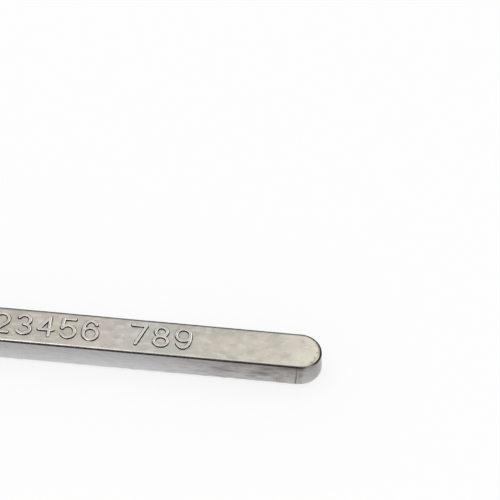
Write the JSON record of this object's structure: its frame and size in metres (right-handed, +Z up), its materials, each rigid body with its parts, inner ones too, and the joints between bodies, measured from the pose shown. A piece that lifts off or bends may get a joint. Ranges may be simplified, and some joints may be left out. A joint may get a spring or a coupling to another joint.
{
  "type": "solder bar",
  "caption": "Cast stick of solder with a stadium outline, drafted walls, rounded rims, a flat face and a shallow sunken pour side.",
  "frame": {"origin": "middle of the flat rim plane of the pour side, which the bar lies on", "axes": "+X along the bar, towards the end that the picture shows; +Y across it; +Z up, from the pour side to the marked face"},
  "size_m": [0.3296, 0.0214, 0.013],
  "materials": {
    "solder": "as-cast tin alloy, satin on the face and brighter on the walls"
  },
  "bodies": {
    "root": {"solder_bar": "solder"}
  },
  "joints": []
}
